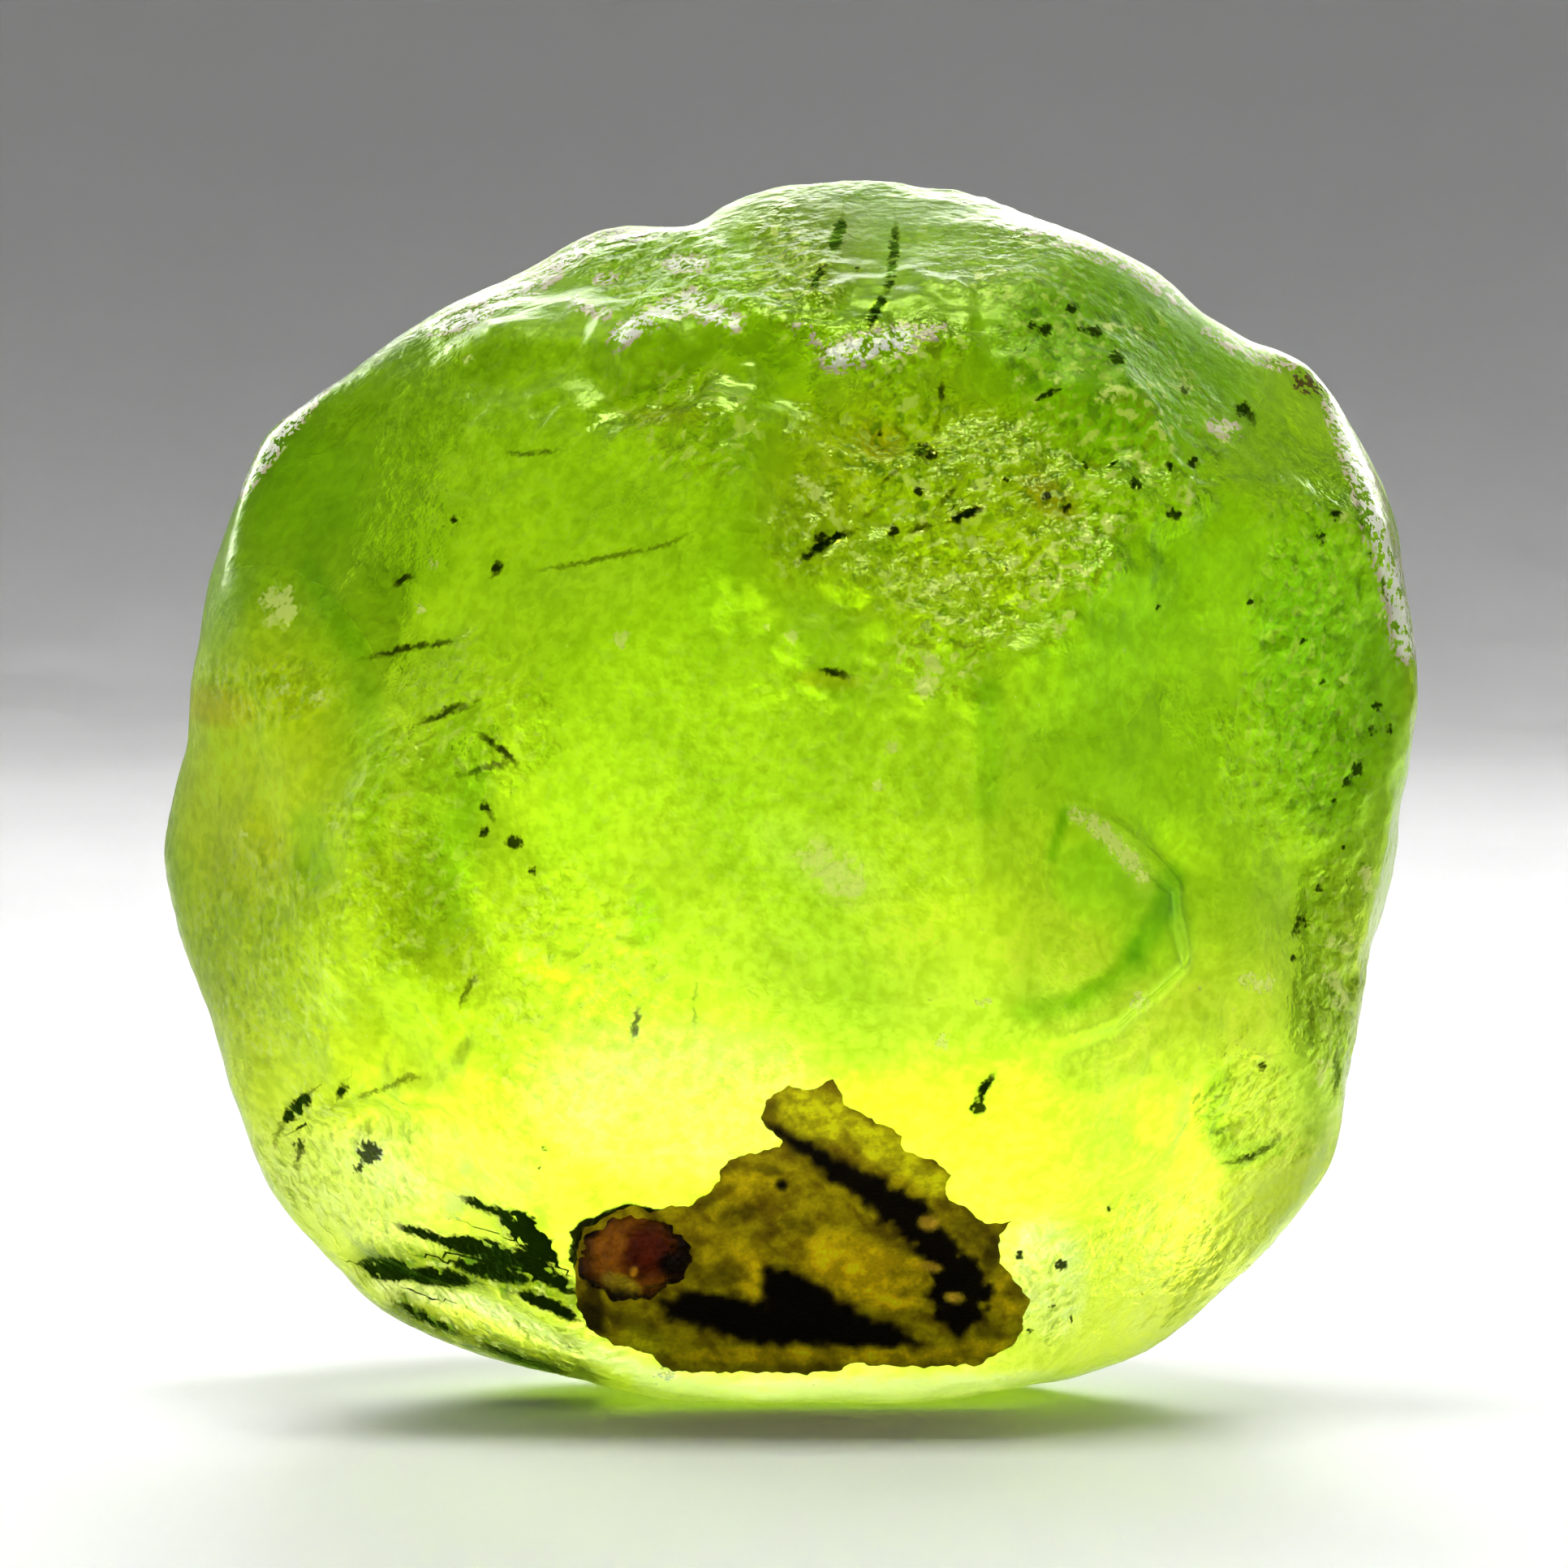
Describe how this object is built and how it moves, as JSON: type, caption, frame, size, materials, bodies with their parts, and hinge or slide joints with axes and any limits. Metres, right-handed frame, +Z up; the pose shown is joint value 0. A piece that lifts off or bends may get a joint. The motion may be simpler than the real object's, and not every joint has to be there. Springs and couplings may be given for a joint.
{
  "type": "rough peridot crystal",
  "caption": "Rounded, etched rough peridot, clear yellow-green, with an iron-brown inclusion and a red-brown grain at its foot; stands on a small flat.",
  "frame": {"origin": "on the surface the stone stands on, under the middle of its box", "axes": "+X to the right of the pictured front, +Y from the front to the back, +Z up"},
  "size_m": [0.0154, 0.011, 0.0149],
  "materials": {
    "peridot": "clear yellow-green crystal, glossy windows between etched, frosted patches",
    "iron_stained_matrix": "olive-brown with black seams, dull to waxy",
    "red_brown_mineral": "dark red-brown, waxy"
  },
  "bodies": {
    "root": {"peridot_crystal": "peridot", "iron_stained_inclusion": "iron_stained_matrix", "red_brown_grain": "red_brown_mineral"}
  },
  "joints": []
}
